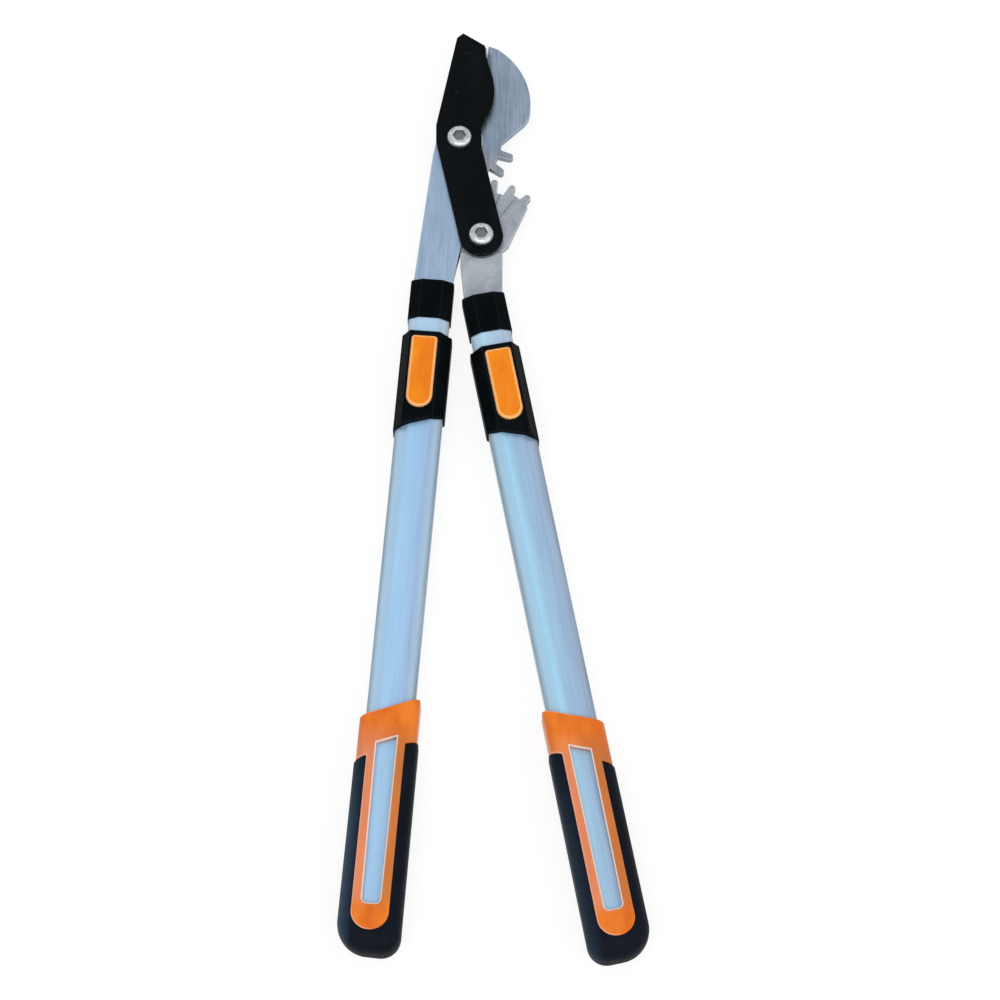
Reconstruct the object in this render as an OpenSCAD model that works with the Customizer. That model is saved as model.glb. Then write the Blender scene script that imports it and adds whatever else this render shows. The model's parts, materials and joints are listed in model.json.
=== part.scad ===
// Telescopic ratchet lopper, lying flat: +Y towards the jaw, +Z up, origin under the blade pivot.

/* [Head] */
// Sideways distance from the blade pivot to the drive pivot
drive_dx = 15.5; // [13:0.5:18]
// Distance down the head from the blade pivot to the drive pivot
drive_dy = 77; // [75:0.5:80]
// Thickness of each black side plate
plate_t = 3; // [2.5:0.1:4]
// Radius of the side plates round the blade pivot
plate_eye_r = 16.4; // [16:0.1:17]
// Radius of the side plates round the drive pivot
plate_end_r = 15.2; // [14:0.1:16.5]
// Height of the jaw tip above the blade pivot
jaw_tip_y = 85.2; // [82:0.2:90]
// Thickness of the blade
blade_t = 5; // [4:0.1:6]
// Width of the ground flats along the cutting edge
grind_w = 7; // [5:0.5:9]
// Thickness left at the cutting edge
edge_t = 0.6; // [0.4:0.1:1]
// Radius of the blade's round back
blade_back_r = 55; // [53:0.5:57]
// Thickness of each cheek of the forked left arm
cheek_t = 2.3; // [2:0.1:3]
// Radius of the fork's eye round the blade pivot
eye_r = 16.4; // [16:0.1:17.5]
// Side play between neighbouring layers of the head
layer_gap = 0.3; // [0.25:0.05:0.5]

/* [Toothed sectors] */
// Pitch radius of the drive sector
drive_pitch_r = 44; // [43:0.2:45]
// Spacing of the teeth along the pitch line
tooth_pitch = 12.6; // [12.3:0.1:12.8]
// Reach of the blade's teeth past the pitch line
blade_addendum = 5; // [4:0.1:5.4]
// Reach of the drive sector's teeth past the pitch line
drive_addendum = 4; // [3:0.1:4.4]
// Gap left under each tooth
tooth_bottom_gap = 0.9; // [0.7:0.1:1.2]
// Radius of each rounded tooth tip
tooth_tip_r = 2.4; // [2:0.1:2.5]
// Half width of a tooth at its foot
tooth_foot = 3; // [2.6:0.1:3.1]
// Travel of the sprung lever out of mesh
float_travel = 10.5; // [10:0.1:11]
// Wire of the ratchet spring
spring_wire = 0.9; // [0.7:0.05:1]

/* [Pivots] */
// Radius of the pivot bolts' shanks
bolt_r = 4; // [3.5:0.1:4.5]
// Radius of the bolt heads
head_r = 8.6; // [8:0.1:9.5]
// Height of the bolt heads
head_h = 4.4; // [3.5:0.1:5]
// Width across flats of the sockets in the bolt heads
socket_af = 8; // [6:0.5:9]
// Outer radius of the pivot bushes
bush_r = 6; // [5.8:0.1:6.6]
// Radial running clearance of the pivots
run_gap = 0.05; // [0.03:0.01:0.1]
// Width across flats of the lock nuts
nut_af = 13; // [12:0.5:14]
// Thickness of the washers under the lock nuts
washer_t = 1; // [0.8:0.1:1.4]

/* [Handles] */
// Lean of the left handle
left_lean = 4.63; // [4:0.1:5.5]
// Lean of the right handle
right_lean = 10.8; // [10:0.1:12]
// Width of the outer tubes
tube_w = 31.5; // [30:0.1:33]
// Depth of the outer tubes
tube_h = 22; // [21:0.1:23]
// Width of the outer tubes' flat front face
tube_flat = 15; // [13:0.5:16]
// Height of the outer tubes' side faces
tube_side = 11; // [9:0.5:12]
// Wall of both tubes
tube_wall = 1.5; // [1.2:0.1:1.8]
// Sliding clearance between the tubes
tube_gap = 0.25; // [0.2:0.05:0.35]
// Distance from the handle origin to the top of the collars
collar_s = 112.5; // [111:0.5:115]
// Length of the collars
collar_l = 29.5; // [26:0.5:33]
// Wall of the collars
collar_wall = 0.9; // [0.8:0.1:1.4]
// Length of inner tube that shows between collar and sleeve
inner_shows = 13; // [8:0.5:20]
// Length of the inner tubes
inner_l = 330; // [315:1:345]
// How far the handles draw out
extension = 250; // [200:5:255]

/* [Sleeves and buttons] */
// Length of the sleeves on their short inner side
sleeve_l = 61; // [60.5:0.5:68]
// Extra length of the sleeves on their outer side
sleeve_drop = 12; // [6:0.5:16]
// Wall of the sleeves
sleeve_wall = 1.35; // [1.2:0.05:1.6]
// Height of the sleeves' front pad above the tube
pad_h = 4.5; // [4.2:0.1:5]
// Width of the release buttons
button_w = 18; // [16:0.5:19]
// Length of the release buttons
button_l = 54; // [52:0.5:56]
// Thickness of the release buttons
button_t = 2.7; // [2.2:0.1:3]
// Radius of the buttons' axles
axle_r = 1.5; // [1.2:0.1:1.7]
// Radius of the lock pins
lock_r = 2; // [1.6:0.1:2.2]
// Spacing of the index holes in the inner tubes
index_step = 50; // [40:1:50]

/* [Grips] */
// Distance from the handle origin to the middle of the ferrule's slanted top
grip_s = 430; // [418:1:433]
// Length of the grips
grip_l = 166; // [160:1:175]
// Wall of the orange liners between tube and cover
core_wall = 2; // [1.6:0.1:2.4]
// Wall of the black grip covers at their sides
cover_wall = 2.55; // [2.2:0.05:3.4]
// Swell of the grip covers' ends at each side
end_flare = 0.7; // [0.5:0.1:2]
// Height of the raised panels above the tube
panel_rise = 4; // [3.7:0.1:5]
// Step from the raised panel down to the black cover
panel_step = 0.5; // [0.3:0.1:0.8]
// Wall of the orange ferrules round the tube
ferrule_wall = 3.55; // [3:0.05:4]
// Length of the orange ferrule
ferrule_l = 30; // [26:0.5:34]
// Slant of the ferrule across the handle in degrees
ferrule_slant = 21.5; // [10:0.5:24]
// Width of the raised orange panels
panel_w = 24.6; // [22:0.2:26]
// Width of the windows on the tube
window_w = 12.7; // [10:0.1:14]
// How much narrower the windows are at their lower end
window_taper = 1.4; // [0:0.1:3]
// Distance from the windows' lower end to the end of the grips
window_foot = 31; // [28:0.5:45]

/* [Hidden] */
$fn = 64;

// Layers of the head, measured from the middle plane
grip_h = tube_h + 2 * panel_rise;
zc = grip_h / 2;
cheek_z = blade_t / 2 + layer_gap + 0.1;
arm_z = cheek_z + cheek_t;
plate_z = arm_z + layer_gap;
stack_z = plate_z + plate_t;
nut_h = zc - stack_z - washer_t;
lever_t = blade_t + 0.2;
over = 0.1;

// Pivots and the two sectors
drive = [drive_dx, -drive_dy];
span = norm(drive);
drive_dir = atan2(-drive_dy, drive_dx);
blade_pitch_r = span - drive_pitch_r;
blade_tip_r = blade_pitch_r + blade_addendum;
drive_tip_r = drive_pitch_r + drive_addendum;
blade_root_r = span - drive_tip_r - tooth_bottom_gap;
drive_root_r = span - blade_tip_r - tooth_bottom_gap;
first_tooth = -7.6;
tooth_count = 5;
hub_r = 14.8;
arm_top = drive_dy + plate_end_r + 1;
arm_end = arm_top + 8.8;
slot_l = bush_r + float_travel + 10;
boss_half = bush_r + 4.5;

// Jaw outline
belly = [24.6, 38.5];
belly_r = 46.8;
waist_r = 20;
waist_x = plate_eye_r - 1;
jaw_corner = [18, jaw_tip_y - 10.2];
jaw_tip = [2.4, jaw_tip_y];
edge_top = [20.3, jaw_tip_y - 6.7];
edge_heel = [12.5, 15];
back_center = [-4.9, 30.3];
back_end = -8;
corner_r = 15;
corner_end = -46.7;
rivet_r = 2.5;
anvil_rivet_spots = [[6, 66], [-2, 34]];
blade_rivet_spots = [[-7, -20], [5, -24]];

// Handle frames and stations along each handle
left_origin = [-8.85, 0];
right_origin = [-4.3, -12.3];
sleeve_s = collar_s + collar_l + inner_shows;
lip = 2;
tube_s = sleeve_s + lip;
grip_end = grip_s + grip_l;
collar_lid = 2.5;
lid_s = collar_s + collar_lid - 0.1;
neck_s = lid_s + 1.8;
inner_s = neck_s + 0.8;
inner_inset = tube_wall + tube_gap;
arm_half = 13.2;
neck_half = 8.6;
arm_shank = 40;
pin_s = collar_s + collar_l / 2;
pin_r = 2.5;
button_s = sleeve_s + 3.6;
axle_s = button_s + button_l / 2;
pad_z = tube_h / 2 + pad_h;
button_z = pad_z + 0.8 - button_t;
axle_z = button_z - 0.2;
lock_s = button_s + 7;
pad_half = button_w / 2 + 1.5;
button_u = -1.2;
axle_end = pad_half - 0.2;
screw_r = 1.5;
screw_head_r = 3;
screw_head_h = 0.8;
index_count = floor(extension / index_step) + 1;
panel_end = grip_end - 13;
liner_end = grip_end - 17;
window_end = grip_end - window_foot;
cover_h = grip_h - 2 * panel_step;
core_w = tube_w + 2 * core_wall;
core_h = tube_h + 1.8 * core_wall;
grip_w = core_w + 2 * cover_wall;
ferrule_w = tube_w + 2 * ferrule_wall;
ferrule_round = (ferrule_w - panel_w) / 2 - 0.2;
window_s = grip_s + ferrule_l - 6.5;
fit = 0.05;

// Straight edges run this far inside the circles they are tangent to
skim = 0.03;

// Point at a radius and angle, and points of an arc
function polar(r, a) = r * [cos(a), sin(a)];
function arc(c, r, a0, a1, n = 16) = [for (i = [0:n]) c + polar(r, a0 + (a1 - a0) * i / n)];

// Point on a handle: u across, s down its length
function at_side(o, lean, u, s) = o + [u * cos(lean) + s * sin(lean), u * sin(lean) - s * cos(lean)];

// Lower end of an arm in handle terms: full width in the collar's lid, then a neck
function arm_tail() = [[-arm_half, lid_s], [-neck_half, lid_s], [-neck_half, neck_s],
    [neck_half, neck_s], [neck_half, lid_s], [arm_half, lid_s]];

// Section of the outer tube, moved inwards by t
function section(t) = let (
    dx = (tube_h - tube_side) / 2,
    dy = (tube_w - tube_flat) / 2,
    nx = dx / norm([dx, dy]),
    ny = dy / norm([dx, dy]),
    hw = tube_w / 2 - t,
    hh = tube_h / 2 - t,
    hf = tube_flat / 2 - t * nx / (1 + ny),
    hs = tube_side / 2 - t * ny / (1 + nx)
  ) [[hf, hh], [hw, hs], [hw, -hs], [hf, -hh], [-hf, -hh], [-hw, -hs], [-hw, hs], [-hf, hh]];

// Helpers
module slab(z0, z1) {
  translate([0, 0, zc + z0]) linear_extrude(z1 - z0) children();
}

module bore(p, z0, z1, r) {
  translate([p[0], p[1], zc + z0 - over]) cylinder(h = z1 - z0 + 2 * over, r = r);
}

module cross_rod(s, z, half, r) {
  translate([-half, -s, z]) rotate([0, 90, 0]) cylinder(h = 2 * half, r = r);
}

module left_side() {
  translate([left_origin[0], left_origin[1], zc]) rotate(-left_lean) children();
}

module right_side() {
  translate([right_origin[0], right_origin[1], zc]) rotate(right_lean) mirror([1, 0, 0]) children();
}

module along(s0, s1) {
  translate([0, -s0, 0]) rotate([90, 0, 0]) linear_extrude(s1 - s0) children();
}

module round_box(w, h, r) {
  square([w, h - 2 * r], center = true);
  square([w - 2 * r, h], center = true);
  for (x = [-1, 1], y = [-1, 1]) translate([x * (w / 2 - r), y * (h / 2 - r)]) circle(r);
}

module at_pivots() {
  for (p = [[0, 0], drive]) translate([p[0], p[1], 0]) children();
}

// Side plates and anvil
module plate_outline() {
  belly_c = belly - [belly_r, 0];
  waist_dx = waist_x + waist_r - belly_c[0];
  waist_c = belly_c + [waist_dx, -sqrt(pow(belly_r + waist_r, 2) - waist_dx * waist_dx)];
  turn = atan2(waist_c[1] - belly_c[1], waist_c[0] - belly_c[0]);
  brow = jaw_tip - [4.4, 3.7];
  lean = acos((plate_eye_r - plate_end_r) / span);
  polygon(concat(
    [brow, jaw_tip, jaw_corner, jaw_corner + [0.7, -8.5]],
    arc(belly_c, belly_r, 17.3, turn),
    arc(waist_c, waist_r, 180 + turn, 180, 6),
    [[waist_x + 0.3, -7]],
    arc(drive, plate_end_r, 3, drive_dir - lean, 24),
    arc([0, 0], plate_eye_r, 360 + drive_dir - lean, 180, 4),
    [[-plate_eye_r, 10.8]]));
}

module plate(z0) {
  color("#15191c") difference() {
    slab(z0, z0 + plate_t) plate_outline();
    for (p = [[0, 0], drive]) bore(p, z0, z0 + plate_t, bolt_r + fit);
    for (p = anvil_rivet_spots) bore(p, z0, z0 + plate_t, rivet_r + fit);
  }
}

module plate_front() {
  plate(plate_z);
}

module plate_rear() {
  plate(-stack_z);
}

module anvil() {
  edge = edge_top - edge_heel;
  back_off = 0.35 * [-edge[1], edge[0]] / norm(edge);
  color("#9aa0a4") difference() {
    slab(-plate_z, plate_z) polygon([
      [-plate_eye_r + 3, 22], [jaw_tip[0] - 4.4, jaw_tip[1] - 8], [jaw_tip[0] + 0.5, jaw_tip[1] - 3.5],
      edge_top + back_off + [-0.6, -4], edge_heel + back_off]);
    bore([0, 0], -plate_z, plate_z, eye_r + 0.5);
    for (p = anvil_rivet_spots) bore(p, -plate_z, plate_z, rivet_r + fit);
  }
}

module anvil_rivets() {
  color("#2a2d30") for (p = anvil_rivet_spots)
    translate([p[0], p[1], zc - stack_z]) cylinder(h = 2 * stack_z, r = rivet_r);
}

// Bolts, nuts, washers and bushes of the two pivots
module pivot_bolt(p) {
  color("silver") translate([p[0], p[1], 0]) difference() {
    union() {
      cylinder(h = zc + stack_z + over, r = bolt_r);
      translate([0, 0, zc + stack_z]) rotate_extrude() polygon(concat(
        [[0, 0], [head_r, 0], [head_r, head_h * 0.3]],
        arc([head_r - head_h * 0.7, head_h * 0.3], head_h * 0.7, 0, 90, 8),
        [[0, head_h]]));
    }
    translate([0, 0, zc + stack_z + head_h - 2.6]) cylinder(h = 3, r = socket_af / sqrt(3), $fn = 6);
  }
}

module blade_bolt() {
  pivot_bolt([0, 0]);
}

module drive_bolt() {
  pivot_bolt(drive);
}

module lock_nuts() {
  color("silver") at_pivots() difference() {
    cylinder(h = nut_h, r = nut_af / sqrt(3), $fn = 6);
    translate([0, 0, -over]) cylinder(h = nut_h + 2 * over, r = bolt_r + fit);
  }
}

module nut_washers() {
  color("silver") at_pivots() translate([0, 0, nut_h]) difference() {
    cylinder(h = washer_t, r = nut_af / 2 + 1.5);
    translate([0, 0, -over]) cylinder(h = washer_t + 2 * over, r = bolt_r + fit);
  }
}

module blade_bush() {
  color("#b08d57") translate([0, 0, zc - plate_z]) difference() {
    cylinder(h = 2 * plate_z, r = bush_r);
    translate([0, 0, -over]) cylinder(h = 2 * (plate_z + over), r = bolt_r + fit);
  }
}

module drive_bush() {
  color("#b08d57") translate([drive[0], drive[1], zc - lever_t / 2]) difference() {
    cylinder(h = lever_t, r = bush_r);
    translate([0, 0, -over]) cylinder(h = lever_t + 2 * over, r = bolt_r + run_gap);
  }
}

module thrust_washers() {
  t = plate_z - lever_t / 2 - 0.1;
  color("#e6e2d3") for (z = [-plate_z, plate_z - t]) translate([drive[0], drive[1], zc + z]) difference() {
    cylinder(h = t, r = boss_half);
    translate([0, 0, -over]) cylinder(h = t + 2 * over, r = bolt_r + fit);
  }
}

// One tooth along +X from its root circle to its rounded tip
module tooth(root_r, tip_r, foot) {
  end = tip_r - tooth_tip_r;
  polygon([[root_r - 1.5, -foot], [end, -tooth_tip_r], [end, tooth_tip_r], [root_r - 1.5, foot]]);
  translate([end, 0]) circle(tooth_tip_r);
}

// Blade with its toothed tail
module blade() {
  tail_from = drive_dir - 24;
  tail_to = -1.4;
  back_c = back_center + (blade_back_r - corner_r) * [cos(back_end), sin(back_end)];
  tip_angle = atan2(edge_top[1] - back_center[1], edge_top[0] - back_center[0]);
  color("#8595aa") difference() {
    union() {
      slab(-blade_t / 2, blade_t / 2) polygon(concat(
        [edge_heel, edge_top],
        arc(back_center, blade_back_r, tip_angle, back_end, 24),
        arc(back_c, corner_r, back_end, corner_end, 6),
        arc([0, 0], blade_root_r, tail_to, tail_from, 20),
        arc([0, 0], hub_r, tail_from - 10, -265, 16)));
      for (i = [0:tooth_count - 1])
        slab(-blade_t / 2, blade_t / 2)
          rotate(drive_dir + (first_tooth + (i - 0.5) * tooth_pitch) / blade_pitch_r * 180 / PI)
            tooth(blade_root_r, blade_tip_r, tooth_foot);
    }
    bore([0, 0], -blade_t / 2, blade_t / 2, bush_r + run_gap);
    for (p = blade_rivet_spots) bore(p, -blade_t / 2, blade_t / 2, rivet_r + fit);
    for (face = [0, 1]) translate([edge_heel[0], edge_heel[1], zc]) mirror([0, 0, face]) edge_grind();
  }
}

// What the grinding takes off one face along the cutting edge
module edge_grind() {
  run = edge_top - edge_heel;
  slope = (blade_t - edge_t) / 2 / grind_w;
  top = blade_t / 2 + slope;
  rotate(atan2(run[1], run[0])) rotate([90, 0, 90]) linear_extrude(norm(run) + 1)
    polygon([[1, edge_t / 2 - slope], [-grind_w - 1, top], [1, top + 1]]);
}

module blade_rivets() {
  color("#8595aa") for (p = blade_rivet_spots)
    translate([p[0], p[1], zc - arm_z]) cylinder(h = 2 * arm_z, r = rivet_r);
}

// Left arm: a fork whose cheeks straddle the blade, then a shank in the inner tube
module left_arm() {
  heel = at_side(left_origin, -left_lean, -arm_half, collar_s - 2);
  toe = at_side(left_origin, -left_lean, arm_half, collar_s - 2);
  tail = [for (p = arm_tail()) at_side(left_origin, -left_lean, p[0], p[1])];
  color("#90a6bf") {
    difference() {
      slab(-arm_z, arm_z) {
        circle(eye_r);
        polygon(concat([[skim - eye_r, 0], [-eye_r - 2.3, -13], heel], tail,
          [toe, [1.6, -84], [eye_r - 0.5, -4], [0, 0]]));
      }
      slab(-cheek_z, cheek_z) {
        circle(blade_tip_r + 1);
        translate(drive) circle(hub_r + 1);
        translate([drive[0] - hub_r - 1.5, -arm_end]) square([hub_r, arm_end - drive_dy]);
        translate(drive) rotate(drive_dir) translate([-span, -boss_half - 1.5]) square([2 * span, span]);
      }
      bore([0, 0], -arm_z, arm_z, bush_r + run_gap);
      for (p = blade_rivet_spots) bore(p, -arm_z, arm_z, rivet_r + fit);
    }
    left_side() shank(neck_s - 1);
  }
}

// Shank of an arm inside its inner tube, cross drilled for the pin
module shank(s0) {
  difference() {
    along(s0, collar_s + arm_shank) polygon(section(inner_inset + tube_wall + 0.2));
    cross_rod(pin_s, 0, tube_w, pin_r + fit);
  }
}

// Drive lever: toothed fan, slotted hub and right arm in one forging
module drive_lever() {
  fan_from = 38;
  fan_to = 180 + drive_dir + 12;
  last_valley = fan_from + 22.5;
  shallow = 3.4;
  slot_half = bush_r + run_gap;
  color("#999fa8") {
    difference() {
      union() {
        slab(-lever_t / 2, lever_t / 2) {
          translate(drive) {
            circle(hub_r);
            polygon(concat([[-6, -8], [15, -9], [19, -5], [24, 7]],
              arc([0, 0], drive_root_r + shallow, fan_from + 1, last_valley, 8),
              arc([0, 0], drive_root_r, last_valley, fan_to, 12)));
            rotate(180 + drive_dir) translate([0, -boss_half]) square([slot_l + 5, 2 * boss_half]);
            for (i = [0:tooth_count - 1])
              rotate(180 + drive_dir - (first_tooth + i * tooth_pitch) / drive_pitch_r * 180 / PI)
                tooth(drive_root_r, drive_tip_r, tooth_foot);
          }
          arm_blank(drive[1]);
        }
        slab(-arm_z, arm_z) difference() {
          arm_blank(4 - arm_top);
          translate(drive) circle(plate_end_r + 1);
        }
      }
      translate([drive[0], drive[1], zc - lever_t]) {
        cylinder(h = 2 * lever_t, r = slot_half);
        rotate(180 + drive_dir) translate([0, -slot_half, 0]) cube([slot_l, 2 * slot_half, 2 * lever_t]);
      }
    }
    right_side() shank(neck_s - 1);
  }
}

// Plan of the right arm below a given height
module arm_blank(top_y) {
  tail = [for (p = arm_tail()) at_side(right_origin, right_lean, p[0], p[1])];
  left_x = drive[0] - hub_r + 0.3;
  right_x = drive[0] + hub_r;
  polygon(concat(
    [[left_x, top_y], [left_x, -arm_top - 2.8]],
    tail,
    [[right_x, -arm_end], [right_x, top_y]]));
}

// Coil of round wire along +X
module coil(r, wire, length, turns) {
  sides = 6;
  rings = 8 * turns;
  points = [for (i = [0:rings], k = [0:sides - 1])
    let (a = 360 * turns * i / rings, b = 360 * k / sides, q = r + wire / 2 * cos(b))
    [length * i / rings + wire / 2 * sin(b), q * cos(a), q * sin(a)]];
  walls = [for (i = [0:rings - 1], k = [0:sides - 1], t = [0, 1])
    let (a = i * sides + k, b = i * sides + (k + 1) % sides)
    t == 0 ? [a, a + sides, b] : [b, a + sides, b + sides]];
  caps = [for (k = [1:sides - 2], t = [0, 1])
    t == 0 ? [0, k, k + 1] : [rings * sides, rings * sides + k + 1, rings * sides + k]];
  polyhedron(points, concat(walls, caps));
}

module ratchet_spring() {
  r = blade_t / 2 - spring_wire / 2 - 0.2;
  color("#c0c4c8") translate([drive[0], drive[1], zc]) rotate(180 + drive_dir)
    translate([bush_r + spring_wire / 2 + 0.1, 0, 0])
      coil(r, spring_wire, slot_l - bush_r - spring_wire - 0.2, 6);
}

// Telescopic tubes
module inner_tube() {
  color("#b5cde2") difference() {
    along(inner_s, inner_s + inner_l) polygon(section(inner_inset));
    along(inner_s - over, inner_s + inner_l + over) polygon(section(inner_inset + tube_wall));
    cross_rod(pin_s, 0, tube_w, pin_r + fit);
    for (i = [0:index_count - 1])
      translate([0, -lock_s - i * index_step, 0]) cylinder(h = tube_h, r = lock_r + 0.3);
  }
}

module left_inner_tube() {
  left_side() inner_tube();
}

module right_inner_tube() {
  right_side() inner_tube();
}

module collar() {
  color("#14191c") difference() {
    along(collar_s, collar_s + collar_l) polygon(section(inner_inset - collar_wall));
    along(collar_s + collar_lid, collar_s + collar_l + over) polygon(section(inner_inset - fit));
    along(collar_s - over, collar_s + collar_lid + over)
      square([2 * arm_half + 1.6, 2 * (arm_z + 0.3)], center = true);
  }
}

module left_collar() {
  left_side() collar();
}

module right_collar() {
  right_side() collar();
}

module arm_pin() {
  color("silver") cross_rod(pin_s, 0, tube_w / 2 - inner_inset, pin_r);
}

module left_arm_pin() {
  left_side() arm_pin();
}

module right_arm_pin() {
  right_side() arm_pin();
}

module glide() {
  end = inner_s + inner_l;
  color("#e6e2d3") {
    along(end - 14, end) polygon(section(inner_inset + tube_wall + fit));
    along(end, end + 8) polygon(section(tube_wall + 0.12));
  }
}

module left_glide() {
  left_side() glide();
}

module right_glide() {
  right_side() glide();
}

module outer_tube() {
  color("#a0c8ea") difference() {
    along(tube_s, liner_end) polygon(section(0));
    along(tube_s - over, liner_end + over) polygon(section(tube_wall));
    translate([0, -lock_s, 0]) cylinder(h = tube_h, r = lock_r + 0.7);
    translate([0, -axle_s, -tube_h]) cylinder(h = tube_h, r = screw_r + fit);
  }
}

module left_outer_tube() {
  left_side() outer_tube();
}

module right_outer_tube() {
  right_side() outer_tube();
}

// Sleeve with its front pad, the button's pocket and the slanted hem
module button_plan(grow) {
  r = button_w / 2 + grow;
  corner = 2.5 + grow;
  top = grow - button_s - corner;
  foot = -button_s - button_l + button_w / 2;
  polygon(concat(
    arc([r - corner, top], corner, 0, 90, 5),
    arc([corner - r, top], corner, 90, 180, 5),
    [[-r, foot], [r, foot]]));
  translate([0, foot]) circle(r);
}

module sleeve() {
  end = sleeve_s + sleeve_l + sleeve_drop;
  hw = tube_w / 2 + sleeve_wall;
  color("#14181b") difference() {
    along(sleeve_s, end) union() {
      polygon(section(-sleeve_wall));
      polygon([[-hw, 0], [-hw, tube_side / 2], [button_u - pad_half, pad_z], [button_u + pad_half, pad_z],
        [hw, tube_side / 2], [hw, 0]]);
    }
    along(tube_s, end + over) polygon(section(-fit));
    along(sleeve_s - over, tube_s + over) polygon(section(tube_wall));
    translate([button_u, 0, tube_h / 2 - 1]) linear_extrude(pad_h + 2) button_plan(0.4);
    translate([button_u, 0, 0]) cross_rod(axle_s, axle_z, axle_end + 0.1, axle_r + fit);
    translate([0, -axle_s, -tube_h]) cylinder(h = tube_h, r = screw_r + fit);
    translate([0, -axle_s, -tube_h])
      cylinder(h = tube_h / 2 - sleeve_wall + screw_head_h, r = screw_head_r + fit);
    translate([0, 0, -tube_h]) linear_extrude(2 * tube_h)
      polygon([[-hw - 1, -end], [hw + 1, -end + sleeve_drop], [hw + 1, -end - 1], [-hw - 1, -end - 1]]);
  }
}

module left_sleeve() {
  left_side() sleeve();
}

module right_sleeve() {
  right_side() sleeve();
}

module sleeve_screw() {
  color("silver") translate([0, -axle_s, -tube_h / 2 - sleeve_wall]) {
    cylinder(h = screw_head_h, r = screw_head_r);
    cylinder(h = sleeve_wall + tube_wall - 0.15, r = screw_r);
  }
}

module left_sleeve_screw() {
  left_side() sleeve_screw();
}

module right_sleeve_screw() {
  right_side() sleeve_screw();
}

// Release button: a rocker on a cross axle with the lock pin under its top end
module button() {
  boss = axle_z - tube_h / 2 - 0.15;
  color("#ee861e") difference() {
    translate([button_u, 0, 0]) {
      translate([0, 0, button_z]) linear_extrude(button_t) button_plan(0);
      cross_rod(axle_s, axle_z, button_w / 2 - 0.5, boss);
    }
    cross_rod(axle_s, axle_z, button_w, axle_r + run_gap);
    translate([0, -lock_s, button_z - over]) cylinder(h = 1.4 + over, r = lock_r + fit);
  }
}

module left_button() {
  left_side() button();
}

module right_button() {
  right_side() button();
}

module button_axle() {
  color("silver") translate([button_u, 0, 0]) cross_rod(axle_s, axle_z, axle_end, axle_r);
}

module left_button_axle() {
  left_side() button_axle();
}

module right_button_axle() {
  right_side() button_axle();
}

module lock_pin() {
  nose_z = tube_h / 2 - inner_inset + 0.3;
  color("silver") translate([0, -lock_s, nose_z]) cylinder(h = button_z + 1.4 - nose_z, r = lock_r);
}

module left_lock_pin() {
  left_side() lock_pin();
}

module right_lock_pin() {
  right_side() lock_pin();
}

// Bowed leaf under the button's lower end
module button_spring() {
  half = 7;
  leaf = 0.4;
  rise = button_z - tube_h / 2 - 0.1;
  r = (half * half + rise * rise) / (2 * rise);
  color("#c0c4c8") translate([0, -axle_s - 15, 0]) rotate([90, 0, 90])
    translate([0, 0, -4]) linear_extrude(8) translate([0, tube_h / 2 + rise - r]) intersection() {
      difference() {
        circle(r);
        circle(r - leaf);
      }
      translate([-half - 1, r - rise]) square([2 * half + 2, rise + 1]);
    }
}

module left_button_spring() {
  left_side() button_spring();
}

module right_button_spring() {
  right_side() button_spring();
}

// Half plane below a slanted line across the handle, at station s on the axis
module below_slant(s) {
  drop = tan(ferrule_slant) * grip_w;
  translate([0, 0, -grip_h]) linear_extrude(2 * grip_h)
    polygon([[-grip_w, -s - drop], [grip_w, -s + drop],
      [grip_w, -grip_end - 50], [-grip_w, -grip_end - 50]]);
}

module panel_plan(grow) {
  r = panel_w / 2 + grow;
  foot = panel_end - panel_w / 2;
  translate([-r, -foot]) square([2 * r, foot - grip_s - ferrule_l / 2]);
  translate([0, -foot]) circle(r);
}

module window_plan() {
  r = 3;
  half = window_w / 2;
  foot = half - window_taper / 2;
  drop = tan(ferrule_slant) * half;
  polygon(concat(
    [[-half, -window_s - drop], [half, -window_s + drop]],
    arc([foot - r, -window_end + r], r, 0, -90, 6),
    arc([r - foot, -window_end + r], r, -90, -180, 6)));
}

// Orange grip core: ferrule, liner and raised panels front and rear
module grip_core() {
  color("#ee7d28") difference() {
    union() {
      intersection() {
        along(grip_s - 20, grip_s + ferrule_l + 20) round_box(ferrule_w, grip_h, ferrule_round);
        difference() {
          below_slant(grip_s);
          below_slant(grip_s + ferrule_l);
        }
      }
      intersection() {
        along(grip_s, liner_end) round_box(core_w, core_h, 7);
        below_slant(grip_s + ferrule_l - 1);
      }
      intersection() {
        translate([0, 0, -grip_h / 2]) linear_extrude(grip_h) panel_plan(0);
        below_slant(grip_s + ferrule_l / 2);
      }
    }
    along(grip_s - 40, liner_end + over) polygon(section(-fit));
    translate([0, 0, -grip_h]) linear_extrude(2 * grip_h) window_plan();
  }
}

module left_grip_core() {
  left_side() grip_core();
}

module right_grip_core() {
  right_side() grip_core();
}

// Rounded disc that shapes one corner of the cover's end, its edge rolled over front and rear
module end_disc(u, r, roll_r) {
  half = cover_h / 2;
  translate([u, r - grip_end, 0]) rotate_extrude($fn = 48) polygon(concat(
    [[0, -half]],
    arc([r - roll_r, roll_r - half], roll_r, -90, 0, 6),
    arc([r - roll_r, half - roll_r], roll_r, 0, 90, 6),
    [[0, half]]));
}

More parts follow.
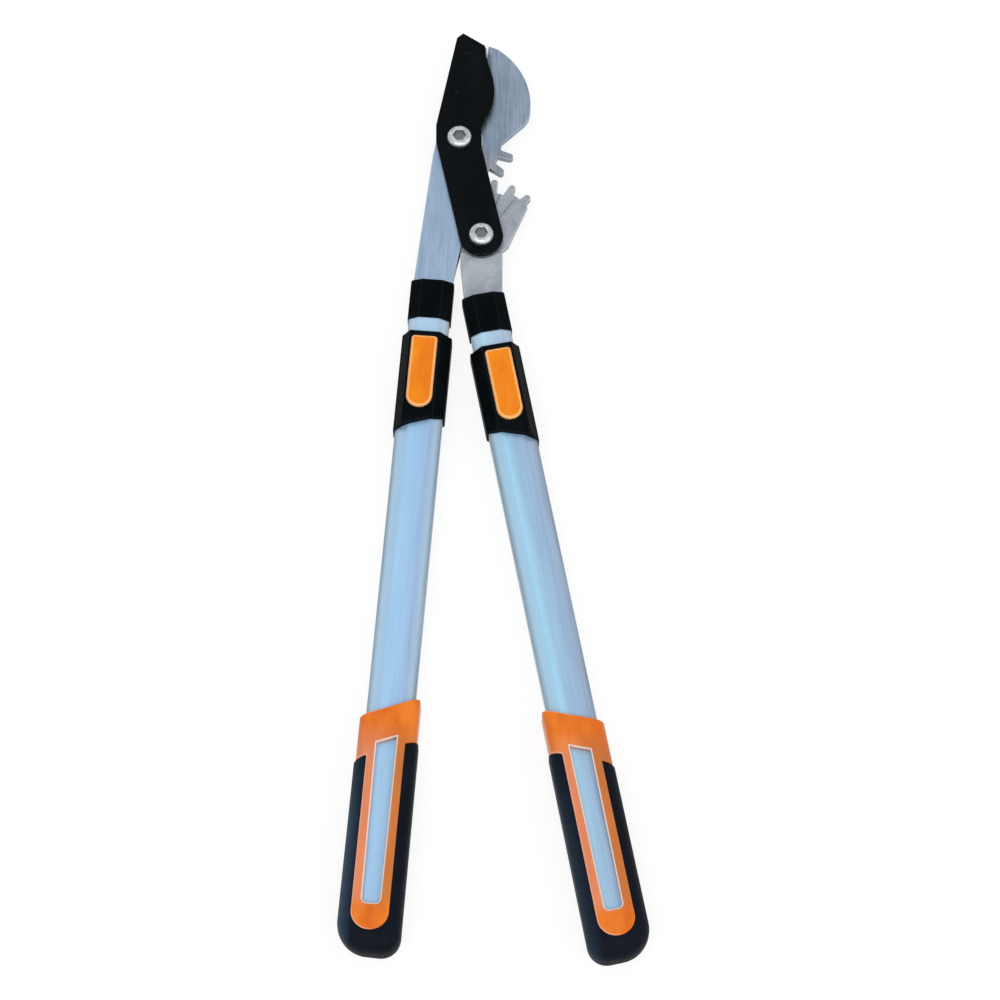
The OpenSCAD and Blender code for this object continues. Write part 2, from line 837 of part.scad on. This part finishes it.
// Black grip cover with openings for the raised panels: it swells towards a rounded end
module grip_cover() {
  outer_r = 21;
  inner_r = 13;
  end_half = grip_w / 2 + end_flare;
  color("#16191e") difference() {
    intersection() {
      hull() {
        along(grip_s - 20, grip_s - 19) round_box(grip_w, cover_h, 9, $fn = 32);
        end_disc(outer_r - end_half, outer_r, 12);
        end_disc(end_half - inner_r, inner_r, 11);
      }
      below_slant(grip_s + ferrule_l + fit);
    }
    along(grip_s - 40, liner_end + fit) round_box(core_w + 2 * fit, core_h + 2 * fit, 7);
    translate([0, 0, -grip_h]) linear_extrude(2 * grip_h) panel_plan(fit);
  }
}

module left_grip_cover() {
  left_side() grip_cover();
}

module right_grip_cover() {
  right_side() grip_cover();
}

plate_front();
plate_rear();
anvil();
anvil_rivets();
blade_bolt();
drive_bolt();
lock_nuts();
nut_washers();
blade_bush();
thrust_washers();
blade();
left_arm();
blade_rivets();
drive_bush();
drive_lever();
ratchet_spring();
left_inner_tube();
right_inner_tube();
left_collar();
right_collar();
left_arm_pin();
right_arm_pin();
left_glide();
right_glide();
left_outer_tube();
right_outer_tube();
left_sleeve();
right_sleeve();
left_sleeve_screw();
right_sleeve_screw();
left_button();
right_button();
left_button_axle();
right_button_axle();
left_lock_pin();
right_lock_pin();
left_button_spring();
right_button_spring();
left_grip_core();
right_grip_core();
left_grip_cover();
right_grip_cover();
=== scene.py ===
import json
import math

import bmesh
import bpy
import mathutils
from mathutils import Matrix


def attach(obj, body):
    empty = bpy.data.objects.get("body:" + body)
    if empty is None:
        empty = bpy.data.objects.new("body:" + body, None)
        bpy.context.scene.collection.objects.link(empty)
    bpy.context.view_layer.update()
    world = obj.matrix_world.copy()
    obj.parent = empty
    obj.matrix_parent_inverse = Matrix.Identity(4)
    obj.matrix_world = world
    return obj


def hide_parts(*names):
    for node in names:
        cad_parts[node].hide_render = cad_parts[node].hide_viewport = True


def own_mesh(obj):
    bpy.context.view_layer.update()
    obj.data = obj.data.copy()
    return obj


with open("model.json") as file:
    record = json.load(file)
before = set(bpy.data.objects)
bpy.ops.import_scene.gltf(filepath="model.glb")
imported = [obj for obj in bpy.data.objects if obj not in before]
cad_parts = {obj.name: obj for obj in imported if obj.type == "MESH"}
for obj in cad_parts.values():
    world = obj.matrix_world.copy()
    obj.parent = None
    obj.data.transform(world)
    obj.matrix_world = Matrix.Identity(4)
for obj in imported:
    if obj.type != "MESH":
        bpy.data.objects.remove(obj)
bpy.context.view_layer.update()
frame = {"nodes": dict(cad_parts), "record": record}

NODES = frame["nodes"]
RECORD = frame["record"]
JOINTS = {joint["name"]: joint for joint in RECORD["behaviour"]["joints"]}
BODY_OF = {node: body for body, nodes in RECORD["behaviour"]["bodies"].items() for node in nodes}
SLOT_OF = {part["node"]: part["material_slot"] for part in RECORD["subparts"]}
SIDES = ("left", "right")
MM = 0.001

# How the camera stood: off square by this angle, at this distance from the middle of the view
CAMERA_TILT = math.radians(24)
CAMERA_FAR = 2.6
CAMERA_LENS = 138.7
VIEW_MIDDLE = (0.0285, -0.2744, 0.015)

# Lamps: strength, tilt from straight down, turn and spread in degrees
LAMPS = {"key": (1.14, 26, -16, 45), "fill": (0.5, 50, 60, 60)}
SKY_LIGHT = 0.55

# The pale floor: half its side, how far it lies below the lopper, its glow and the share of the glow in it
FLOOR_HALF = 6
FLOOR_DROP = 0.2 * MM
FLOOR_GLOW = 1.06
FLOOR_SHARE = 0.8


class Handle:
    """Directions of a handle: along the line that it draws out on and across it, and its turn about Z."""

    def __init__(self, side):
        x, y, _ = JOINTS[f"{side}_extension"]["axis"]
        self.along = (x, y, 0)
        self.across = (-y, x, 0)
        self.turn = math.atan2(x, -y)


HANDLES = {side: Handle(side) for side in SIDES}


def reach(node, direction):
    """First and last place of a node in a direction."""
    places = [vert.co.dot(direction) for vert in NODES[node].data.vertices]
    return min(places), max(places)


def photo_color(red, green, blue):
    """A colour as the photograph shows it, as linear light."""
    def linear(value):
        value /= 255
        return value / 12.92 if value <= 0.04045 else ((value + 0.055) / 1.055) ** 2.4
    return (linear(red), linear(green), linear(blue), 1)


class Val:
    """A shader value that takes part in arithmetic."""

    def __init__(self, finish, socket):
        self.finish = finish
        self.socket = socket

    def math(self, operation, a, b):
        return self.finish.node("ShaderNodeMath", {"operation": operation}, {0: a, 1: b})

    def __add__(self, other):
        return self.math("ADD", self, other)

    def __sub__(self, other):
        return self.math("SUBTRACT", self, other)

    def __rsub__(self, other):
        return self.math("SUBTRACT", other, self)

    def __mul__(self, other):
        return self.math("MULTIPLY", self, other)

    def __pow__(self, other):
        return self.math("POWER", self, other)

    __radd__ = __add__
    __rmul__ = __mul__


class Finish:
    """A node material under construction."""

    def __init__(self, name):
        self.material = bpy.data.materials.new(name)
        self.material.use_nodes = True
        self.tree = self.material.node_tree
        self.tree.nodes.clear()

    def node(self, kind, settings=None, sockets=None, out=0):
        made = self.tree.nodes.new(kind)
        for key, value in (settings or {}).items():
            if key == "stops":
                for stop, (place, color) in zip(self.stops_of(made, len(value)), value):
                    stop.position = place
                    stop.color = color
            else:
                setattr(made, key, value)
        for key, value in (sockets or {}).items():
            if isinstance(value, Val):
                self.tree.links.new(value.socket, made.inputs[key])
            else:
                made.inputs[key].default_value = value
        return None if out is None else Val(self, made.outputs[out])

    def stops_of(self, ramp, count):
        while len(ramp.color_ramp.elements) < count:
            ramp.color_ramp.elements.new(0.5)
        return ramp.color_ramp.elements

    def place(self, direction):
        """How far a point of the surface lies in a direction."""
        point = self.node("ShaderNodeTexCoord", out="Object")
        return self.node(
            "ShaderNodeVectorMath", {"operation": "DOT_PRODUCT"}, {0: point, 1: direction}, out="Value")

    def grain(self, size, turn=0.0, detail=3.0):
        """Noise with features of this size in metres: one number, or three along axes turned about Z."""
        scale = size if isinstance(size, tuple) else (size, size, size)
        point = self.node("ShaderNodeTexCoord", out="Object")
        local = self.node("ShaderNodeMapping", {"vector_type": "TEXTURE"},
                          {"Vector": point, "Rotation": (0, 0, turn), "Scale": scale})
        return self.node("ShaderNodeTexNoise", None, {"Vector": local, "Scale": 1.0, "Detail": detail})

    def band(self, value, low, high, to_low=0.0, to_high=1.0):
        """A value mapped from one range to another and held inside it."""
        limits = {"From Min": low, "From Max": high, "To Min": to_low, "To Max": to_high}
        return self.node("ShaderNodeMapRange", {"clamp": True}, {"Value": value, **limits})

    def blend(self, factor, a, b):
        return self.node("ShaderNodeMix", {"data_type": "RGBA"}, {0: factor, 6: a, 7: b}, out=2)

    def tones(self, value, low, high, dark, light):
        """A colour that goes from dark to light as a value goes from low to high."""
        return self.blend(self.band(value, low, high), photo_color(*dark), photo_color(*light))

    def tint(self, factor, color, other):
        """A colour turned towards another one."""
        return self.blend(factor, color, photo_color(*other))

    def mark(self, name):
        """1 on the faces that a piece marks with this name and 0 on its others."""
        return self.node("ShaderNodeAttribute", {"attribute_name": name}, out="Fac")

    def edges(self):
        return self.mark("edge")

    def bump(self, height, depth, strength=0.5):
        return self.node("ShaderNodeBump", None, {"Height": height, "Distance": depth, "Strength": strength})

    def done(self, color, roughness, normal=None, **fixed):
        """Closes the material with one shader; fixed holds its constant sockets."""
        sockets = {"Base Color": color, "Roughness": roughness}
        if normal is not None:
            sockets["Normal"] = normal
        sockets.update({key.replace("_", " "): value for key, value in fixed.items()})
        shader = self.node("ShaderNodeBsdfPrincipled", None, sockets)
        return self.close(shader)

    def close(self, shader):
        self.node("ShaderNodeOutputMaterial", None, {"Surface": shader}, out=None)
        return self.material


# Finishes

def black_coat():
    """Painted plates, a little worn along their edges."""
    finish = Finish("black_coat")
    peel = finish.grain(0.0011)
    cloud = finish.grain((0.014, 0.05, 0.014))
    worn = finish.edges() * finish.band(finish.grain(0.004), 0.5, 0.7)
    color = finish.tones(cloud, 0.35, 0.7, (4, 7, 9), (13, 17, 20))
    color = finish.tint(worn * 0.35, color, (70, 75, 80))
    roughness = finish.band(cloud, 0.3, 0.7, 0.34, 0.46)
    return finish.done(color, roughness, finish.bump(peel, 0.00006), Specular_IOR_Level=0.04)


def brushed(name, dark, light, turn=0.0, grey_below=None):
    """Brushed metal with lines along the turned Y axis, soft stains and bright edges.

    It gets greyer below a place on the Y axis, where one is given.
    """
    finish = Finish(name)
    lines = finish.grain((0.0006, 0.03, 0.0006), turn)
    stain = finish.grain((0.012, 0.03, 0.012), turn)
    tone = lines * 0.55 + stain * 0.45
    color = finish.tones(tone, 0.36, 0.66, dark, light)
    if grey_below is not None:
        share = finish.band(finish.place((0, 1, 0)), grey_below - 8 * MM, grey_below, 0.7, 0.0)
        color = finish.blend(share, color, finish.tones(tone, 0.36, 0.66, (128, 131, 138), (160, 163, 170)))
    color = finish.tint(finish.edges() * 0.45, color, (214, 222, 230))
    roughness = finish.band(lines, 0.3, 0.7, 0.3, 0.44)
    return finish.done(color, roughness, finish.bump(lines, 0.00003), Metallic=0.75)


# Shallow lines of the drive lever's fan: the turn of one valley between its teeth and their pitch, the turn
# and the distances from the pivot over which the lines come in, and the distances over which they go out
FAN_VALLEY = math.radians(70.26)
FAN_PITCH = math.radians(16.41)
FAN_START = (math.radians(38), math.radians(44))
FAN_INNER = (0.019, 0.026)
FAN_OUTER = (0.036, 0.04)


def fan_lines(finish):
    """1 along lines that run from the drive pivot to the valleys of its fan, and 0 away from them."""
    pivot_x, pivot_y, _ = JOINTS["drive_pivot"]["pos_m"]
    x = finish.place((1, 0, 0)) - pivot_x
    y = finish.place((0, 1, 0)) - pivot_y
    turn = finish.node("ShaderNodeMath", {"operation": "ARCTAN2"}, {0: y, 1: x})
    far = (x * x + y * y) ** 0.5
    wave = finish.node(
        "ShaderNodeMath", {"operation": "COSINE"}, {0: (turn - FAN_VALLEY) * (2 * math.pi / FAN_PITCH)})
    ring = finish.band(far, *FAN_INNER) * finish.band(far, *FAN_OUTER, 1.0, 0.0)
    return finish.band(wave, 0.8, 0.98) * ring * finish.band(turn, *FAN_START)


def cast_metal():
    """Cast drive lever, with a rough skin and the fan's shallow lines, darkened with painted shade."""
    finish = Finish("cast_lever")
    skin = finish.grain(0.0014, detail=5.0)
    patch = finish.grain((0.012, 0.018, 0.012))
    color = finish.tones(patch * 0.6 + skin * 0.4, 0.38, 0.62, (141, 148, 157), (171, 177, 185))
    lines = fan_lines(finish)
    # Painted shade: the fan's shallow lines are darkened.
    color = finish.tint(lines * 0.45, color, (96, 102, 112))
    color = finish.tint(finish.edges() * 0.5, color, (206, 210, 214))
    roughness = finish.band(skin, 0.3, 0.7, 0.42, 0.6)
    return finish.done(color, roughness, finish.bump(skin * 0.3 - lines, 0.0005, 0.6), Metallic=0.6)


def bright_plate():
    """Plated bolts and nuts, with painted shade in a bolt's socket."""
    finish = Finish("bright_plate")
    haze = finish.grain(0.003)
    color = finish.tones(haze, 0.35, 0.7, (160, 166, 171), (206, 209, 212))
    # Painted shade: the faces of a bolt's socket are darkened.
    color = finish.tint(finish.mark("recess"), color, (112, 119, 125))
    return finish.done(color, finish.band(haze, 0.3, 0.7, 0.2, 0.34), Metallic=0.9)


# Painted light and shade of the drawn tubes: their tones from their left edge to their right edge
PAINTED_TUBE_SHADES = {
    "left": (
        (0.02, (132, 152, 167)), (0.10, (172, 202, 227)), (0.30, (156, 200, 235)), (0.60, (151, 191, 228)),
        (0.78, (151, 179, 216)), (0.90, (168, 192, 213)), (0.98, (130, 146, 159)),
    ),
    "right": (
        (0.02, (132, 154, 169)), (0.10, (168, 202, 225)), (0.28, (160, 213, 243)), (0.46, (149, 187, 214)),
        (0.70, (145, 175, 208)), (0.90, (147, 165, 191)), (0.98, (124, 138, 154)),
    ),
}


def anodised(side, kind, pale):
    """Pale blue tube: painted light and shade across it, fine lines along it and faint clouds; pale lightens
    all of them.
    """
    finish = Finish(f"{side}_{kind}_finish")
    handle = HANDLES[side]
    lines = finish.grain((0.0012, 0.05, 0.0012), handle.turn)
    cloud = finish.grain((0.005, 0.09, 0.03), handle.turn)
    across = finish.band(finish.place(handle.across), *reach(f"{side}_{kind}", handle.across))
    # Painted light and shade: the tones of lit and shaded sides, laid across the tube.
    stops = [(place, photo_color(*tone)) for place, tone in PAINTED_TUBE_SHADES[side]]
    color = finish.node("ShaderNodeValToRGB", {"stops": stops}, {0: across})
    tone = finish.band(lines * 0.6 + cloud * 0.4, 0.4, 0.62, 0.0, 0.32)
    color = finish.tint(tone, color, (180, 212, 239))
    # Painted shade: the rounded edges are turned a little darker.
    color = finish.tint(finish.edges() * 0.15, color, (140, 164, 186))
    color = finish.tint(pale, color, (224, 236, 246))
    roughness = finish.band(lines, 0.3, 0.7, 0.3, 0.42)
    return finish.done(color, roughness, finish.bump(lines, 0.00002), Metallic=0.35)


def moulded_black():
    """Black plastic of the collars and sleeves."""
    finish = Finish("moulded_black")
    stipple = finish.grain(0.0007, detail=2.0)
    color = finish.tones(finish.grain(0.02), 0.35, 0.65, (4, 8, 9), (11, 16, 19))
    color = finish.tint(finish.edges() * 0.3, color, (34, 38, 42))
    roughness = finish.band(stipple, 0.3, 0.7, 0.42, 0.56)
    return finish.done(color, roughness, finish.bump(stipple, 0.00008), Specular_IOR_Level=0.02)


ORANGE_CLOUD = (0.012, 0.03, 0.012)


def close_orange(finish, color, cloud, rim):
    """Ends an orange plastic with the painted highlight of its wide rim, its fine skin and its gloss."""
    # Painted highlight: the faces of the wide rim are turned pale.
    color = finish.tint(finish.mark("rim") * 0.8, color, rim)
    skin = finish.grain(0.0009, detail=2.0)
    roughness = finish.band(cloud, 0.3, 0.7, 0.3, 0.42)
    return finish.done(color, roughness, finish.bump(skin, 0.00004, 0.4), Specular_IOR_Level=0.2)


def button_orange():
    finish = Finish("button_orange")
    cloud = finish.grain(ORANGE_CLOUD)
    color = finish.tones(cloud, 0.36, 0.64, (236, 124, 14), (248, 146, 22))
    # Painted highlight: the rounded edges are turned pale orange.
    color = finish.tint(finish.edges() * 0.4, color, (250, 190, 122))
    return close_orange(finish, color, cloud, (252, 190, 124))


# Where the painted light of the left strip beside a grip's window and the painted shade of the right one come
# in, from the core's head, and go out, from its foot, and half the width over which the painted light turns
# into the painted shade
STRIP_HEAD = (0.018, 0.04)
STRIP_FOOT = (0.024, 0.014)
STRIP_TURN = 0.004


def grip_orange(side):
    """Orange of a grip, with painted light in salmon on the left strip beside the window, painted shade in tan
    on the right one, and a painted highlight on its left edges.
    """
    finish = Finish(f"{side}_grip_orange")
    handle = HANDLES[side]
    cloud = finish.grain(ORANGE_CLOUD)
    left, right = reach(f"{side}_grip_core", handle.across)
    head, foot = reach(f"{side}_grip_core", handle.along)
    to_right = finish.band(finish.place(handle.across) - (left + right) / 2, -STRIP_TURN, STRIP_TURN)
    down = finish.place(handle.along)
    strip = finish.band(down, head + STRIP_HEAD[0], head + STRIP_HEAD[1])
    strip = strip * finish.band(down, foot - STRIP_FOOT[0], foot - STRIP_FOOT[1], 1.0, 0.0)
    color = finish.tones(cloud, 0.36, 0.64, (222, 108, 28), (240, 130, 40))
    # Painted light and shade: the left strip is turned salmon and the right one tan.
    color = finish.blend(strip * 0.6, color, finish.tones(to_right, 0, 1, (224, 146, 118), (180, 116, 72)))
    # Painted highlight: the rounded edges on the left half are turned pale salmon.
    color = finish.tint(finish.edges() * (1 - to_right) * 0.7, color, (242, 182, 156))
    return close_orange(finish, color, cloud, (232, 230, 226))


# Where the painted blue sheen of a cover goes out, from its left side, and where it comes in, from its head
SHEEN_SIDE = (0.002, 0.01)
SHEEN_HEAD = (0.01, 0.06)


def soft_rubber(side, sheen):
    """Black rubber of a grip's cover, with a painted blue sheen towards its left side and its foot."""
    finish = Finish(f"{side}_soft_rubber")
    handle = HANDLES[side]
    pebble = finish.grain(0.0012, detail=4.0)
    color = finish.tones(finish.grain((0.018, 0.03, 0.018)), 0.35, 0.65, (2, 7, 16), (7, 14, 27))
    left, _ = reach(f"{side}_grip_cover", handle.across)
    head, _ = reach(f"{side}_grip_cover", handle.along)
    # Painted sheen: a blue reflection laid into the colour near the left side, growing towards the foot.
    painted_sheen = finish.band(
        finish.place(handle.across), left + SHEEN_SIDE[0], left + SHEEN_SIDE[1], sheen, 0.0)
    painted_sheen = painted_sheen * finish.band(
        finish.place(handle.along), head + SHEEN_HEAD[0], head + SHEEN_HEAD[1], 0.3, 1.0)
    color = finish.tint(painted_sheen, color, (62, 86, 108))
    roughness = finish.band(pebble, 0.3, 0.7, 0.5, 0.68)
    return finish.done(color, roughness, finish.bump(pebble, 0.00016, 0.7), Specular_IOR_Level=0.09)


def plain_speckle(name, dark, light, metal, rough, shine=0.5):
    """Finish of the pieces that are mostly out of sight."""
    finish = Finish(name)
    speck = finish.grain(0.002)
    color = finish.tones(speck, 0.35, 0.65, dark, light)
    roughness = finish.band(speck, 0.3, 0.7, rough, rough + 0.12)
    return finish.done(color, roughness, Metallic=metal, Specular_IOR_Level=shine)


# Finishes by material slot, and those of single nodes
TAIL_TOP = JOINTS["blade_pivot"]["pos_m"][1] - 5 * MM
FINISHES = {
    "black_paint": black_coat(),
    "blade_steel": brushed("brushed_blade", (112, 128, 147), (152, 166, 184), grey_below=TAIL_TOP),
    "anvil_steel": brushed("milled_anvil", (130, 135, 140), (170, 174, 178)),
    "bolt_steel": bright_plate(),
    "dark_steel": plain_speckle("blackened_steel", (10, 13, 15), (22, 25, 28), 0.0, 0.4, 0.12),
    "bronze": plain_speckle("turned_bronze", (150, 112, 60), (190, 150, 92), 0.9, 0.25),
    "nylon": plain_speckle("nylon", (214, 210, 196), (232, 229, 217), 0.0, 0.4),
    "arm_alloy": brushed("brushed_arm", (134, 156, 182), (160, 182, 206), HANDLES["left"].turn),
    "cast_alloy": cast_metal(),
    "spring_steel": plain_speckle("drawn_wire", (160, 164, 168), (200, 203, 206), 0.9, 0.25),
    "black_plastic": moulded_black(),
}
NODE_FINISHES = {"anvil_rivets": FINISHES["black_paint"]}
BUTTON_ORANGE = button_orange()
# Strength of the painted sheen on each cover
COVER_SHEEN = {"left": 0.6, "right": 0.25}
for side in SIDES:
    NODE_FINISHES[f"{side}_outer_tube"] = anodised(side, "outer_tube", 0.0)
    NODE_FINISHES[f"{side}_inner_tube"] = anodised(side, "inner_tube", 0.22)
    NODE_FINISHES[f"{side}_button"] = BUTTON_ORANGE
    NODE_FINISHES[f"{side}_grip_core"] = grip_orange(side)
    NODE_FINISHES[f"{side}_grip_cover"] = soft_rubber(side, COVER_SHEEN[side])


def finish_of(node):
    return NODE_FINISHES.get(node) or FINISHES[SLOT_OF[node]]


# Pieces: an edge sharper than this angle is rounded, in this many steps
SHARP = math.radians(28)
ROUND_STEPS = 3
FLAT = math.radians(0.4)

# The socket in a bolt's head, in mm: its first and last depth below the top, and its reach from the middle
SOCKET_DEPTHS = (0.3, 3)
SOCKET_REACH = 4.7


def bevel(shape, edges, width, segments, *marks):
    """Rounds edges by a width in mm and marks the faces that this makes."""
    made = bmesh.ops.bevel(
        shape, geom=edges, offset=width * MM, affect="EDGES", segments=segments, profile=0.5, material=-1,
        clamp_overlap=False)
    for face in made["faces"]:
        for mark in marks:
            face[mark] = 1.0


def merged(node):
    """The shape of a node, with the points that its faces share made one."""
    shape = bmesh.new()
    shape.from_mesh(NODES[node].data)
    bmesh.ops.remove_doubles(shape, verts=shape.verts, dist=0.002 * MM)
    return shape


def piece_of(node, shape, name):
    """Ends the making of a shape as the piece that stands for a node and rides where the node rides."""
    for face in shape.faces:
        face.smooth = True
    mesh = bpy.data.meshes.new(name)
    shape.to_mesh(mesh)
    shape.free()
    mesh.materials.append(finish_of(node))
    piece = bpy.data.objects.new(name, mesh)
    bpy.context.scene.collection.objects.link(piece)
    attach(piece, BODY_OF[node])
    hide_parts(node)
    return piece


def sprung(node, axis, shorter):
    """A copy of a spring with a mesh of its own, riding where the spring rides; it does not get shorter as its
    joint moves.
    """
    piece = piece_of(node, merged(node), f"{node}_sprung")
    first, last = reach(node, axis)
    1 - shorter / (last - first)
    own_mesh(piece)


def sharp_edges(shape):
    return [edge for edge in shape.edges if edge.is_manifold and edge.calc_face_angle(0) > SHARP]


def rounded(node, width, rim=None, rim_width=0.0):
    """A copy of a node with its sharp edges rounded, riding where the node rides.

    The edges whose middle rim accepts are rounded more than the others.
    """
    shape = merged(node)
    bmesh.ops.dissolve_limit(
        shape, angle_limit=FLAT, verts=shape.verts, edges=shape.edges, use_dissolve_boundaries=False)
    bmesh.ops.connect_verts_concave(shape, faces=shape.faces)
    bmesh.ops.recalc_face_normals(shape, faces=shape.faces)
    wide = shape.faces.layers.float.new("rim")
    mark = shape.faces.layers.float.new("edge")
    edges = sharp_edges(shape)
    if rim:
        chosen = [edge for edge in edges if rim((edge.verts[0].co + edge.verts[1].co) / 2)]
        bevel(shape, chosen, rim_width, ROUND_STEPS + 1, mark, wide)
        edges = [edge for edge in sharp_edges(shape) if not any(face[mark] for face in edge.link_faces)]
    bevel(shape, edges, width, ROUND_STEPS, mark)
    if SLOT_OF[node] == "bolt_steel":
        mark_recess(shape)
    piece = piece_of(node, shape, f"{node}_rounded")
    weighted = piece.modifiers.new("even_normals", "WEIGHTED_NORMAL")
    weighted.weight = 100


def mark_recess(shape):
    """Marks the faces of the socket in a bolt's head, which the bolts' finish darkens as painted shade."""
    recess = shape.faces.layers.float.new("recess")
    places = [vert.co for vert in shape.verts]
    top = max(place.z for place in places)
    middle = [(min(place[i] for place in places) + max(place[i] for place in places)) / 2 for i in (0, 1)]
    for face in shape.faces:
        x, y, z = face.calc_center_median()
        deep = top - SOCKET_DEPTHS[1] * MM < z < top - SOCKET_DEPTHS[0] * MM
        if deep and math.hypot(x - middle[0], y - middle[1]) < SOCKET_REACH * MM:
            face[recess] = 1.0


def rim_of(node, half, head, foot, both):
    """Test for the middles of edges on a handle piece's front face, or on its front and rear faces.

    It takes those within half of the handle's middle line and apart from the piece's two ends.
    """
    handle = HANDLES[node.split("_")[0]]
    left, right = reach(node, handle.across)
    first, last = reach(node, handle.along)
    rear, front = reach(node, (0, 0, 1))
    middle = (left + right) / 2
    skin = 0.05 * MM

    def accepts(place):
        near = abs(place.dot(handle.across) - middle) < half * MM
        between = first + head * MM < place.dot(handle.along) < last - foot * MM
        outside = place.z > front - skin or both and place.z < rear + skin
        return near and between and outside
    return accepts


# Width of each node's rounded edges in mm
EDGE_WIDTHS = {
    "plate_front": 0.6, "plate_rear": 0.6, "anvil": 0.3, "blade": 0.2, "left_arm": 0.5, "drive_lever": 0.45,
    "blade_bolt": 0.25, "drive_bolt": 0.25, "lock_nuts": 0.4, "nut_washers": 0.15,
}
SIDE_WIDTHS = {
    "inner_tube": 0.6, "collar": 0.45, "outer_tube": 0.8, "sleeve": 0.6, "button": 0.4, "grip_core": 0.7,
    "grip_cover": 0.45,
}
for side in SIDES:
    for node, width in SIDE_WIDTHS.items():
        EDGE_WIDTHS[f"{side}_{node}"] = width
# Width of each wide rim in mm, its reach from the handle's middle line, how far it keeps from the piece's head
# and foot (-1 takes the end in), and whether the rear has one too
RIMS = {"button": (1.8, 10, -1, -1, False), "grip_core": (1.0, 8, 19, 15, True)}
for node, width in EDGE_WIDTHS.items():
    rim = RIMS.get(node.split("_", 1)[-1])
    if rim:
        rounded(node, width, rim_of(node, *rim[1:]), rim[0])
    else:
        rounded(node, width)

# The joint that pushes each spring in, the way it gives and how far
FLOAT = JOINTS["ratchet_float"]
BUTTON_SPRING_GIVE = 1.5 * MM
SPRINGS = {"ratchet_spring": ("ratchet_float", FLOAT["axis"], FLOAT["range_m"][1])}
for side in SIDES:
    SPRINGS[f"{side}_button_spring"] = (f"{side}_button_press", (0, 0, 1), BUTTON_SPRING_GIVE)
for node, (joint, axis, shorter) in SPRINGS.items():
    sprung(node, mathutils.Vector(axis), shorter)

for node, solid in NODES.items():
    if node not in EDGE_WIDTHS and node not in SPRINGS:
        for place in solid.material_slots:
            place.material = finish_of(node)


# Floor, light and camera

def seen_directly(finish):
    """1 for rays from the camera, or by way of a mirror or glass."""
    paths = [finish.node("ShaderNodeLightPath", out=name)
             for name in ("Is Camera Ray", "Is Glossy Ray", "Is Transmission Ray")]
    return finish.node("ShaderNodeClamp", None, {"Value": paths[0] + paths[1] + paths[2]})


def floor():
    mesh = bpy.data.meshes.new("floor")
    shape = bmesh.new()
    bmesh.ops.create_grid(shape, x_segments=1, y_segments=1, size=FLOOR_HALF)
    bmesh.ops.translate(shape, verts=shape.verts, vec=(0, 0, -FLOOR_DROP))
    shape.to_mesh(mesh)
    shape.free()
    finish = Finish("pale_floor")
    white = finish.node("ShaderNodeBsdfDiffuse", None, {"Color": (0.9, 0.9, 0.9, 1)})
    glow = finish.node("ShaderNodeEmission", None, {"Color": (1, 1, 1, 1), "Strength": FLOOR_GLOW})
    share = seen_directly(finish) * FLOOR_SHARE
    finish.close(finish.node("ShaderNodeMixShader", None, {0: share, 1: white, 2: glow}))
    mesh.materials.append(finish.material)
    plane = bpy.data.objects.new("floor", mesh)
    bpy.context.scene.collection.objects.link(plane)


class Sky(Finish):
    """The world's nodes, built the same way as a material's."""

    def __init__(self):
        world = bpy.data.worlds.new("studio")
        world.use_nodes = True
        self.tree = world.node_tree
        self.tree.nodes.clear()
        bpy.context.scene.world = world


def studio():
    """A white sky that lights the lopper softly, and two broad lamps."""
    sky = Sky()
    strength = seen_directly(sky) * (1 - SKY_LIGHT) + SKY_LIGHT
    glow = sky.node("ShaderNodeBackground", None, {"Color": (1, 1, 1, 1), "Strength": strength})
    sky.node("ShaderNodeOutputWorld", None, {"Surface": glow}, out=None)
    for name, (energy, tilt, turn, spread) in LAMPS.items():
        lamp = bpy.data.lights.new(name, "SUN")
        lamp.energy = energy
        lamp.angle = math.radians(spread)
        sun = bpy.data.objects.new(name, lamp)
        sun.rotation_euler = (math.radians(tilt), 0, math.radians(turn))
        bpy.context.scene.collection.objects.link(sun)


def camera():
    lens = bpy.data.cameras.new("camera")
    lens.lens = CAMERA_LENS
    lens.sensor_width = 36
    lens.clip_end = 50
    eye = bpy.data.objects.new("camera", lens)
    x, y, z = VIEW_MIDDLE
    eye.location = (x, y - CAMERA_FAR * math.sin(CAMERA_TILT), z + CAMERA_FAR * math.cos(CAMERA_TILT))
    eye.rotation_euler = (CAMERA_TILT, 0, 0)
    bpy.context.scene.collection.objects.link(eye)
    bpy.context.scene.camera = eye


floor()
studio()
camera()
bpy.context.scene.view_settings.view_transform = "Standard"
